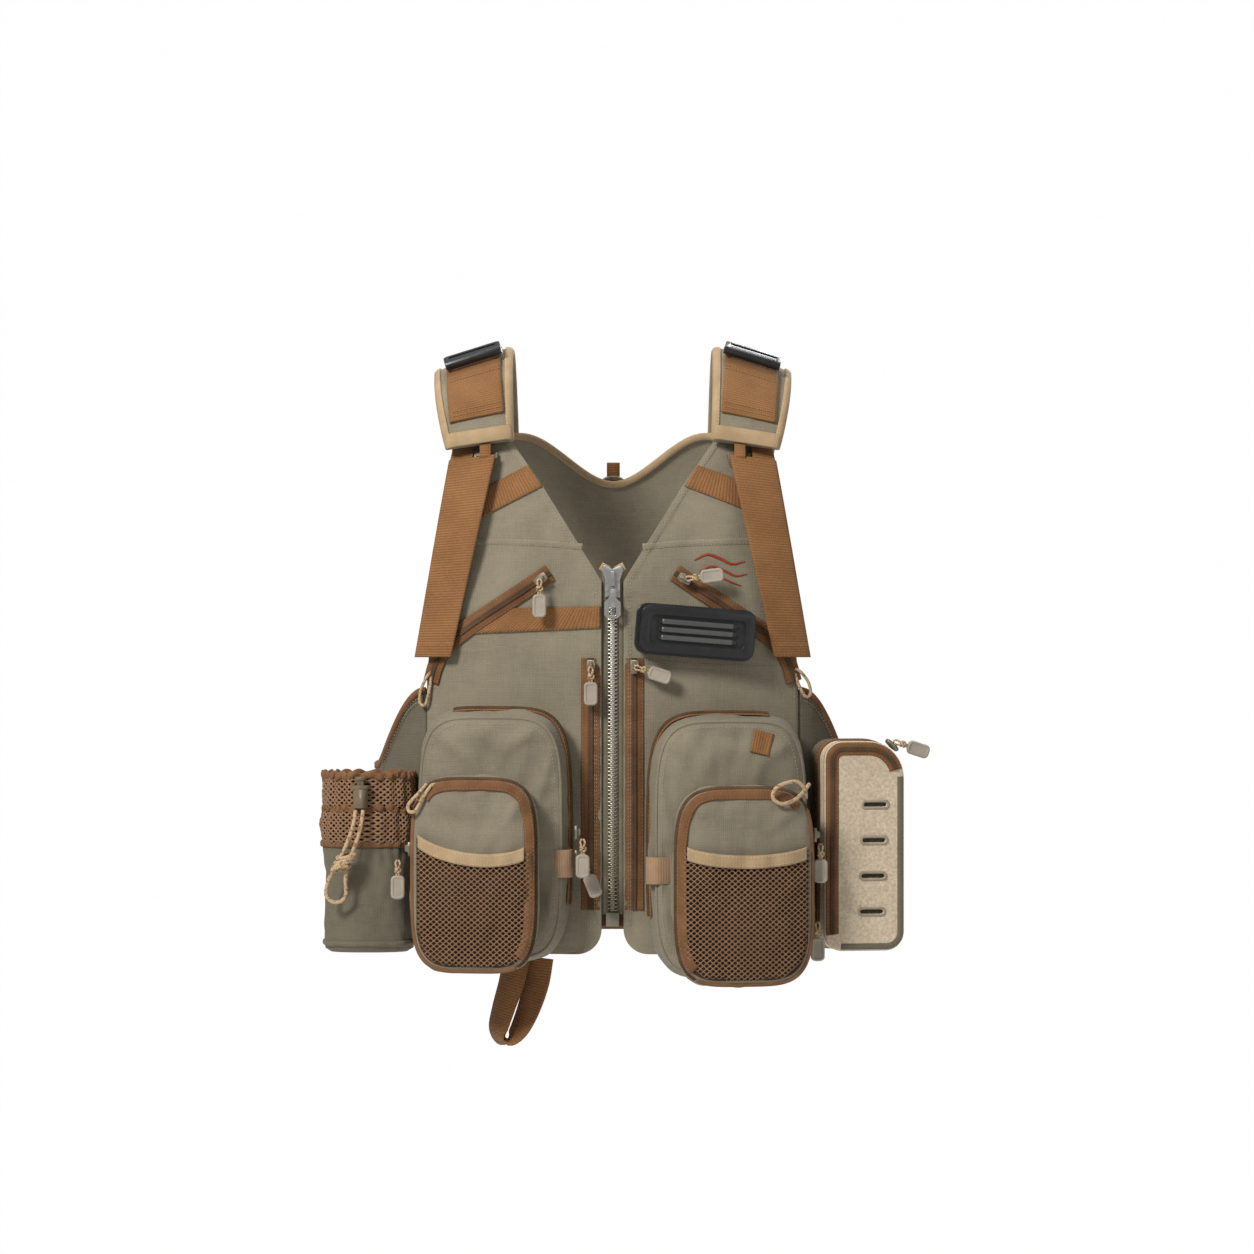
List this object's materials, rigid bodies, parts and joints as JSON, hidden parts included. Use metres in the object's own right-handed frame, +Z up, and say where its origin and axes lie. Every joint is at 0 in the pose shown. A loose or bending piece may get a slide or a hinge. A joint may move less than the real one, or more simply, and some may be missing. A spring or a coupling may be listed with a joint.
{
  "type": "fishing vest",
  "caption": "Zip-front vest with stacked cargo pockets, a side bottle pocket and moulded fly case, mesh back, chest dock and padded adjustable shoulder straps.",
  "frame": {"origin": "base of the wearer's neck, level with the undersides of the shoulder pads along their inner edges", "axes": "+Z up, the front faces -Y, +X is the wearer's left"},
  "size_m": [0.4887, 0.3388, 0.5666],
  "materials": {
    "canvas": "woven olive canvas, matt",
    "mesh": "open brown knitted mesh, matt",
    "webbing": "ribbed tan-brown webbing, matt",
    "binding": "beige binding tape and braid, matt",
    "zip_tape": "brown zip tape with a nylon coil, matt",
    "zip_metal": "antique nickel, satin",
    "rubber_tab": "soft-touch moulded tab, satin",
    "black_plastic": "black moulded nylon, semi-gloss",
    "olive_plastic": "olive acetal, satin",
    "case_shell": "cloth-faced moulded EVA, matt",
    "foam": "slit fly foam, matt",
    "cord": "beige braided cord, matt"
  },
  "bodies": {
    "root": {"front_panel_right": "canvas", "front_panel_left": "canvas", "side_wing_right": "canvas", "side_wing_left": "canvas", "back_yoke": "canvas", "back_mesh_panel": "mesh", "back_pocket": "canvas", "shoulder_pad_right": "canvas", "shoulder_webbing_right": "webbing", "shoulder_pad_left": "canvas", "shoulder_webbing_left": "webbing", "main_zip_right": "zip_metal", "edge_zip_right": "zip_tape", "main_zip_left": "zip_metal", "edge_zip_left": "zip_tape", "main_zip_box": "zip_metal", "chest_zip_right": "zip_tape", "chest_zip_left": "zip_tape", "cargo_pocket_right": "canvas", "front_pocket_right": "canvas", "cargo_pocket_left": "canvas", "front_pocket_left": "canvas", "bottle_pocket": "canvas", "cord_lock_body": "olive_plastic", "bottle_drawcord": "cord", "fly_case_tray": "canvas", "fly_case_foam": "foam", "chest_dock_base": "black_plastic", "chest_dock": "black_plastic"},
    "main_slider": {"main_slider": "zip_metal"},
    "main_pull": {"main_pull": "zip_metal"},
    "edge_slider_right": {"edge_zip_right_slider": "zip_metal"},
    "edge_pull_right": {"edge_zip_right_pull": "rubber_tab"},
    "edge_slider_left": {"edge_zip_left_slider": "zip_metal"},
    "edge_pull_left": {"edge_zip_left_pull": "rubber_tab"},
    "chest_slider_right": {"chest_zip_right_slider": "zip_metal"},
    "chest_pull_right": {"chest_zip_right_pull": "rubber_tab"},
    "chest_slider_left": {"chest_zip_left_slider": "zip_metal"},
    "chest_pull_left": {"chest_zip_left_pull": "rubber_tab"},
    "cargo_zip_right_upper_slider": {"cargo_zip_right_upper_slider": "zip_metal"},
    "cargo_zip_right_upper_pull": {"cargo_zip_right_upper_pull": "rubber_tab"},
    "cargo_zip_right_lower_slider": {"cargo_zip_right_lower_slider": "zip_metal"},
    "cargo_zip_right_lower_pull": {"cargo_zip_right_lower_pull": "rubber_tab"},
    "front_zip_right_slider": {"front_zip_right_slider": "zip_metal"},
    "front_zip_right_pull": {"front_zip_right_pull": "rubber_tab"},
    "front_zip_left_slider": {"front_zip_left_slider": "zip_metal"},
    "front_zip_left_pull": {"front_zip_left_pull": "rubber_tab"},
    "cargo_zip_left_slider": {"cargo_zip_left_slider": "zip_metal"},
    "cargo_zip_left_pull": {"cargo_zip_left_pull": "rubber_tab"},
    "d_ring_right": {"d_ring_right": "olive_plastic"},
    "strap_tail_right": {"strap_tail_right": "webbing"},
    "shoulder_buckle_right": {"shoulder_buckle_right": "black_plastic"},
    "d_ring_left": {"d_ring_left": "olive_plastic"},
    "strap_tail_left": {"strap_tail_left": "webbing"},
    "shoulder_buckle_left": {"shoulder_buckle_left": "black_plastic"},
    "rod_loop": {"rod_loop": "webbing"},
    "fly_case_door": {"fly_case_door": "case_shell"},
    "fly_case_pull": {"fly_case_pull": "rubber_tab"},
    "back_net_ring": {"back_net_ring": "zip_metal"},
    "cord_lock_button": {"cord_lock_button": "olive_plastic"}
  },
  "joints": [
    {"name": "main_zip_slide", "type": "slide", "parent": "root", "child": "main_slider", "axis": [0, 0, -1], "range_m": [0, 0.25]},
    {"name": "main_pull_swing", "type": "hinge", "parent": "main_slider", "child": "main_pull", "pos_m": [0, -0.1297, -0.195], "axis": [-1, 0, 0], "range_deg": [0, 150]},
    {"name": "edge_zip_slide_right", "type": "slide", "parent": "root", "child": "edge_slider_right", "axis": [0, 0, -1], "range_m": [0, 0.16]},
    {"name": "edge_pull_swing_right", "type": "hinge", "parent": "edge_slider_right", "child": "edge_pull_right", "pos_m": [-0.0174, -0.1322, -0.2575], "axis": [-1, 0, 0], "range_deg": [0, 90]},
    {"name": "edge_zip_slide_left", "type": "slide", "parent": "root", "child": "edge_slider_left", "axis": [0, 0, -1], "range_m": [0, 0.034]},
    {"name": "edge_pull_swing_left", "type": "hinge", "parent": "edge_slider_left", "child": "edge_pull_left", "pos_m": [0.0174, -0.1322, -0.2575], "axis": [-0.309, 0, -0.9511], "range_deg": [0, 90]},
    {"name": "chest_zip_slide_right", "type": "hinge", "parent": "root", "child": "chest_slider_right", "pos_m": [-0.06892, 0.27263, -0.11641], "axis": [0.5641, 0.1601, -0.8101], "range_deg": [0, 7.9]},
    {"name": "chest_pull_swing_right", "type": "hinge", "parent": "chest_slider_right", "child": "chest_pull_right", "pos_m": [-0.05827, -0.13201, -0.18724], "axis": [-0.9951, 0.0988, 0], "range_deg": [0, 90]},
    {"name": "chest_zip_slide_left", "type": "hinge", "parent": "root", "child": "chest_slider_left", "pos_m": [0.06892, 0.27263, -0.11641], "axis": [0.5641, -0.1601, 0.8101], "range_deg": [0, 4]},
    {"name": "chest_pull_swing_left", "type": "hinge", "parent": "chest_slider_left", "child": "chest_pull_left", "pos_m": [0.05827, -0.13201, -0.18724], "axis": [0.1213, 0.012, -0.9925], "range_deg": [0, 90]},
    {"name": "cargo_zip_right_upper_slide", "type": "slide", "parent": "root", "child": "cargo_zip_right_upper_slider", "axis": [0, 0, 1], "range_m": [0, 0.045]},
    {"name": "cargo_zip_right_upper_pull_swing", "type": "hinge", "parent": "cargo_zip_right_upper_slider", "child": "cargo_zip_right_upper_pull", "pos_m": [-0.0236, -0.16053, -0.394], "axis": [-1, 0, 0], "range_deg": [0, 80]},
    {"name": "cargo_zip_right_lower_slide", "type": "slide", "parent": "root", "child": "cargo_zip_right_lower_slider", "axis": [0, 0, -1], "range_m": [0, 0.03]},
    {"name": "cargo_zip_right_lower_pull_swing", "type": "hinge", "parent": "cargo_zip_right_lower_slider", "child": "cargo_zip_right_lower_pull", "pos_m": [-0.0236, -0.14551, -0.412], "axis": [-0.9272, 0, -0.3746], "range_deg": [0, 38]},
    {"name": "front_zip_right_slide", "type": "slide", "parent": "root", "child": "front_zip_right_slider", "axis": [0, 0, 1], "range_m": [0, 0.03]},
    {"name": "front_zip_right_pull_swing", "type": "hinge", "parent": "front_zip_right_slider", "child": "front_zip_right_pull", "pos_m": [-0.1668, -0.15635, -0.411], "axis": [-0.9903, 0, 0.1392], "range_deg": [0, 90]},
    {"name": "front_zip_left_slide", "type": "slide", "parent": "root", "child": "front_zip_left_slider", "axis": [0, 0, 1], "range_m": [0, 0.018]},
    {"name": "front_zip_left_pull_swing", "type": "hinge", "parent": "front_zip_left_slider", "child": "front_zip_left_pull", "pos_m": [0.1668, -0.15635, -0.398], "axis": [-0.9986, 0, 0.0523], "range_deg": [0, 90]},
    {"name": "cargo_zip_left_slide", "type": "slide", "parent": "root", "child": "cargo_zip_left_slider", "axis": [0, 0, -1], "range_m": [0, 0.026]},
    {"name": "cargo_zip_left_pull_swing", "type": "hinge", "parent": "cargo_zip_left_slider", "child": "cargo_zip_left_pull", "pos_m": [0.1628, -0.14274, -0.461], "axis": [-0.9986, 0, -0.0523], "range_deg": [0, 55]},
    {"name": "d_ring_swing_right", "type": "hinge", "parent": "root", "child": "d_ring_right", "pos_m": [-0.10239, -0.09646, -0.08669], "axis": [0.1927, 0.8882, -0.4171], "range_deg": [-20, 20]},
    {"name": "strap_tail_lift_right", "type": "hinge", "parent": "root", "child": "strap_tail_right", "pos_m": [-0.113, -0.1017, -0.08878], "axis": [-0.9725, 0.1956, -0.1264], "range_deg": [0, 60]},
    {"name": "shoulder_buckle_tilt_right", "type": "hinge", "parent": "root", "child": "shoulder_buckle_right", "pos_m": [-0.11495, -0.03479, -0.00186], "axis": [-0.9545, 0, -0.2982], "range_deg": [0, 35]},
    {"name": "d_ring_swing_left", "type": "hinge", "parent": "root", "child": "d_ring_left", "pos_m": [0.10239, -0.09646, -0.08669], "axis": [-0.1927, 0.8882, -0.4171], "range_deg": [-20, 20]},
    {"name": "strap_tail_lift_left", "type": "hinge", "parent": "root", "child": "strap_tail_left", "pos_m": [0.113, -0.1017, -0.08878], "axis": [-0.9725, -0.1956, 0.1264], "range_deg": [0, 60]},
    {"name": "shoulder_buckle_tilt_left", "type": "hinge", "parent": "root", "child": "shoulder_buckle_left", "pos_m": [0.11495, -0.03479, -0.00186], "axis": [-0.9545, 0, 0.2982], "range_deg": [0, 35]},
    {"name": "rod_loop_swing", "type": "hinge", "parent": "root", "child": "rod_loop", "pos_m": [-0.068, -0.1155, -0.491], "axis": [-1, 0, 0], "range_deg": [-12, 7]},
    {"name": "fly_case_door_hinge", "type": "hinge", "parent": "root", "child": "fly_case_door", "pos_m": [0.19747, -0.10183, -0.485], "axis": [0.9781, 0.2079, 0], "range_deg": [0, 90]},
    {"name": "fly_case_pull_swing", "type": "hinge", "parent": "root", "child": "fly_case_pull", "pos_m": [0.227, -0.09167, -0.318], "axis": [-0.2079, 0.9781, 0], "range_deg": [-15, 25]},
    {"name": "back_net_ring_swing", "type": "hinge", "parent": "root", "child": "back_net_ring", "pos_m": [0, 0.10158, -0.09881], "axis": [1, 0, 0], "range_deg": [0, 60]},
    {"name": "cord_lock_press", "type": "slide", "parent": "root", "child": "cord_lock_button", "axis": [0, 0, -1], "range_m": [0, 0.0035], "stiffness_N_per_m": 300}
  ]
}
